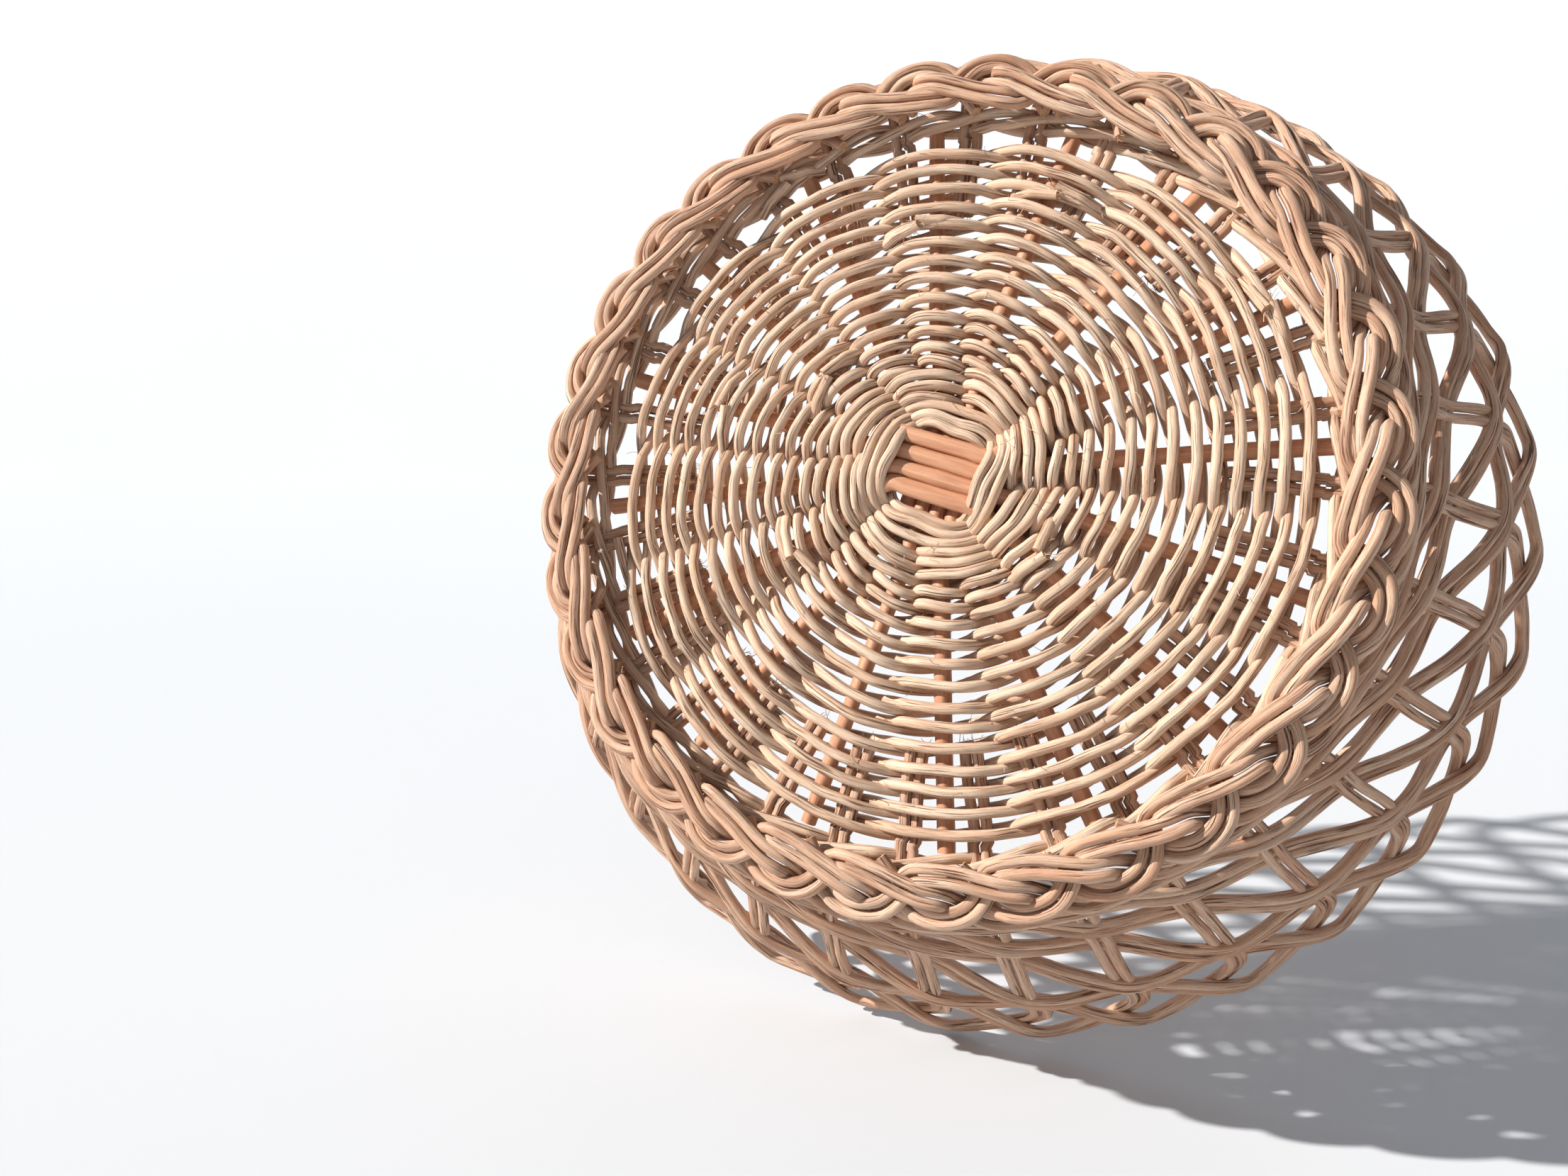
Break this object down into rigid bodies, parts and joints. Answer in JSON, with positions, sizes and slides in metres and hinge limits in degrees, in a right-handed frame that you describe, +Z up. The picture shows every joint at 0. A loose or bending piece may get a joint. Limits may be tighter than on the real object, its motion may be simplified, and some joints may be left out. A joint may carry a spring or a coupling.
{
  "type": "round wicker basket",
  "caption": "Small shallow round basket with a twined base on a fanned stick cross, an open side of slanting stake pairs, a scalloped rim and a plaited foot.",
  "frame": {"origin": "middle of the foot ring, on the surface the basket stands on", "axes": "+Z up through the open mouth, along the basket's axis; +X midway between the spokes of the lower four sticks of the base cross"},
  "size_m": [0.2334, 0.2334, 0.0636],
  "materials": {
    "stakes": "matte",
    "weavers": "matte",
    "sticks": "satin"
  },
  "bodies": {
    "root": {"base_stick_lower_1": "sticks", "base_stick_lower_2": "sticks", "base_stick_lower_3": "sticks", "base_stick_lower_4": "sticks", "base_stick_upper_1": "sticks", "base_stick_upper_2": "sticks", "base_stick_upper_3": "sticks", "base_stick_upper_4": "sticks", "cross_binding": "weavers", "base_weaver_under": "weavers", "base_weaver_over": "weavers", "upsett_weaver": "weavers", "stake_pair_01": "stakes", "stake_pair_02": "stakes", "stake_pair_03": "stakes", "stake_pair_04": "stakes", "stake_pair_05": "stakes", "stake_pair_06": "stakes", "stake_pair_07": "stakes", "stake_pair_08": "stakes", "stake_pair_09": "stakes", "stake_pair_10": "stakes", "stake_pair_11": "stakes", "stake_pair_12": "stakes", "stake_pair_13": "stakes", "stake_pair_14": "stakes", "stake_pair_15": "stakes", "stake_pair_16": "stakes", "stake_pair_17": "stakes", "stake_pair_18": "stakes", "stake_pair_19": "stakes", "stake_pair_20": "stakes", "stake_pair_21": "stakes", "stake_pair_22": "stakes", "stake_pair_23": "stakes", "stake_pair_24": "stakes", "stake_pair_25": "stakes", "stake_pair_26": "stakes", "stake_pair_27": "stakes", "stake_pair_28": "stakes", "stake_pair_29": "stakes", "stake_pair_30": "stakes", "stake_pair_31": "stakes", "stake_pair_32": "stakes"}
  },
  "joints": []
}
